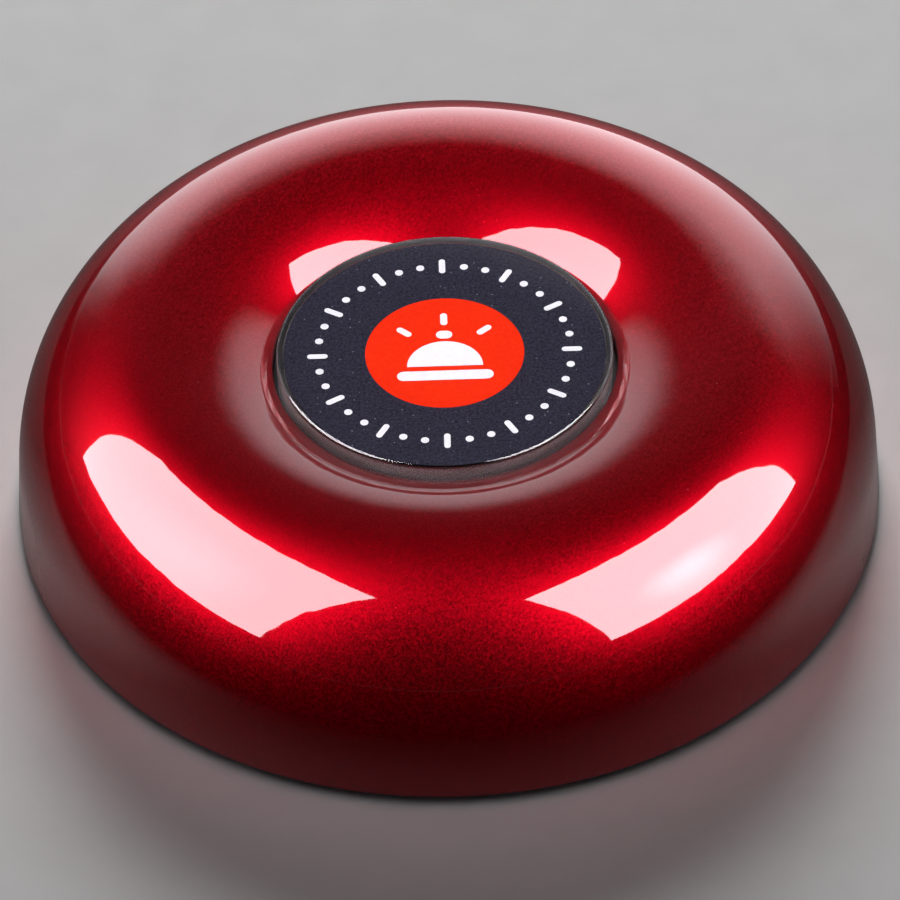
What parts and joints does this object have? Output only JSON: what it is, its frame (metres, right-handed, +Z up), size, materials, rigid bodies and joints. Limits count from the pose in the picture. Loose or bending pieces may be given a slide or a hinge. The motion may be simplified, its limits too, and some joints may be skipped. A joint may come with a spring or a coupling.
{
  "type": "waiter call button",
  "caption": "Round doughnut-shaped table call button with a flat clear cap sunk in a dished well, pressed to send a radio call.",
  "frame": {"origin": "middle of the plane that the three rubber feet stand on, under the middle of the cap", "axes": "+Z up along the axis of the cap and the case, against the way the cap is pressed; -Y towards the front"},
  "size_m": [0.085, 0.085, 0.0225],
  "materials": {
    "red_lacquer": "metallic candy-red lacquer under clear coat, polished",
    "clear_acrylic": "clear moulded acrylic, polished",
    "label_print": "fine-grained printed film, dark with an orange-red middle",
    "black_abs": "moulded, fine spark texture",
    "foot_rubber": "moulded rubber, matt",
    "zinc_steel": "zinc plated",
    "spring_steel": "drawn wire",
    "switch_plastic": "moulded",
    "tinned_steel": "stamped and tinned",
    "board_laminate": "glass-fibre laminate with green solder resist",
    "chip_epoxy": "moulded epoxy",
    "nickel_can": "drawn and nickel plated",
    "led_epoxy": "tinted clear epoxy",
    "chip_ceramic": "fired ceramic",
    "chip_film": "glazed film",
    "copper_wire": "bare copper wire"
  },
  "bodies": {
    "case": {"top_shell": "red_lacquer", "base_plate": "black_abs", "rubber_feet": "foot_rubber", "case_screws": "zinc_steel", "board_screws": "zinc_steel", "return_spring": "spring_steel", "switch_housing": "switch_plastic", "switch_cover": "tinned_steel", "switch_terminals": "tinned_steel", "positive_contact": "tinned_steel", "negative_contact": "tinned_steel", "circuit_board": "board_laminate", "encoder_chip": "chip_epoxy", "transmitter_chip": "chip_epoxy", "quartz_crystal": "nickel_can", "coin_cell": "nickel_can", "indicator_led": "led_epoxy", "chip_capacitors": "chip_ceramic", "chip_resistors": "chip_film", "antenna_coil": "copper_wire"},
    "cap": {"push_cap": "clear_acrylic", "label_disc": "label_print", "cap_carrier": "black_abs"},
    "plunger": {"switch_plunger": "switch_plastic"},
    "door": {"battery_door": "black_abs"}
  },
  "joints": [
    {"name": "press", "type": "slide", "parent": "case", "child": "cap", "axis": [0, 0, -1], "range_m": [0, 0.001], "stiffness_N_per_m": 600, "springref_m": -0.002, "deforming": ["return_spring"]},
    {"name": "switch_press", "type": "slide", "parent": "case", "child": "plunger", "axis": [0, 0, -1], "range_m": [0, 0.00025]},
    {"name": "door_turn", "type": "hinge", "parent": "case", "child": "door", "pos_m": [0, 0, 0.0008], "axis": [0, 0, -1], "range_deg": [0, 30]}
  ],
  "couplings": [
    {"joint": "switch_press", "follows": "press", "ratio": 0.25}
  ]
}
